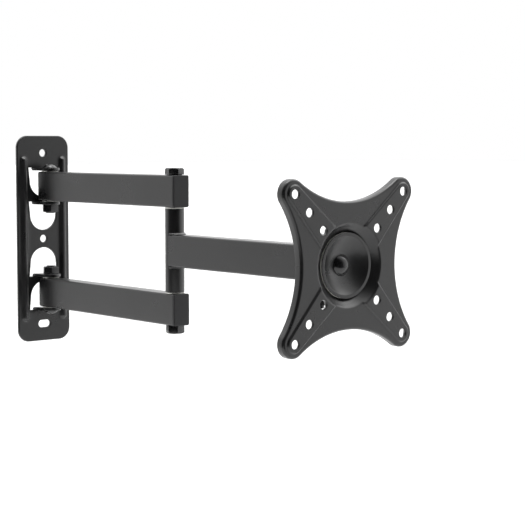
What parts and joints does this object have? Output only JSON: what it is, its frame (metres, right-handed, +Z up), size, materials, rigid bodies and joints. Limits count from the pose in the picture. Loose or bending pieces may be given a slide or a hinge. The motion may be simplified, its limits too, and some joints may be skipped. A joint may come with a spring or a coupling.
{
  "type": "full motion tv wall mount",
  "caption": "Articulated steel wall mount for a flat screen: wall bracket, paired rear arms, front arm, and a tilting, turning X-shaped VESA plate.",
  "frame": {"origin": "back face of the wall plate, on the axis of its middle screw hole", "axes": "+X to the right as seen from the room, +Y into the wall, +Z up; the arms stand straight out along -Y"},
  "size_m": [0.12, 0.3972, 0.18],
  "materials": {
    "powder_coat": "satin black powder coat with a fine texture",
    "black_fastener": "black zinc, semi-gloss",
    "zinc_steel": "bright zinc",
    "nylon": "smooth black nylon",
    "black_plastic": "fine matt moulded texture"
  },
  "bodies": {
    "wall_bracket": {"wall_plate": "powder_coat", "wall_pivot_bolts": "black_fastener", "wall_pivot_nuts": "black_fastener"},
    "rear_arms": {"upper_rear_arm": "powder_coat", "lower_rear_arm": "powder_coat", "wall_end_plugs": "black_plastic", "elbow_end_plugs": "black_plastic", "wall_pivot_bushes": "nylon", "elbow_bolt": "black_fastener", "elbow_nut": "black_fastener", "elbow_spacers": "zinc_steel"},
    "front_arm": {"elbow_tube": "powder_coat", "front_arm": "powder_coat", "elbow_welds": "powder_coat", "elbow_bushes": "nylon", "head_end_plug": "black_plastic", "hinge_bushes": "nylon"},
    "head_bracket": {"head_fork": "powder_coat", "hinge_bolt": "black_fastener", "hinge_washers": "zinc_steel", "hinge_plain_nut": "black_fastener", "hinge_nut": "black_fastener", "hinge_nut_ring": "nylon", "rear_cup": "powder_coat", "inner_cup": "powder_coat", "clamp_bolt": "black_fastener", "clamp_nut": "black_fastener"},
    "ball_liners": {"front_liner": "nylon", "rear_liner": "nylon"},
    "screen_plate": {"screen_plate": "powder_coat"}
  },
  "joints": [
    {"name": "wall_pivot", "type": "hinge", "parent": "wall_bracket", "child": "rear_arms", "pos_m": [0, -0.0138, 0], "axis": [0, 0, 1], "range_deg": [-90, 90]},
    {"name": "elbow", "type": "hinge", "parent": "rear_arms", "child": "front_arm", "pos_m": [0, -0.1955, 0], "axis": [0, 0, -1], "range_deg": [-150, 150]},
    {"name": "head_swivel", "type": "hinge", "parent": "front_arm", "child": "head_bracket", "pos_m": [0, -0.3615, 0], "axis": [0, 0, 1], "range_deg": [-90, 90]},
    {"name": "head_tilt", "type": "hinge", "parent": "head_bracket", "child": "ball_liners", "pos_m": [0, -0.4235, 0], "axis": [1, 0, 0], "range_deg": [-10, 10]},
    {"name": "head_roll", "type": "hinge", "parent": "ball_liners", "child": "screen_plate", "pos_m": [0, -0.4235, 0], "axis": [0, -1, 0], "continuous": true}
  ]
}
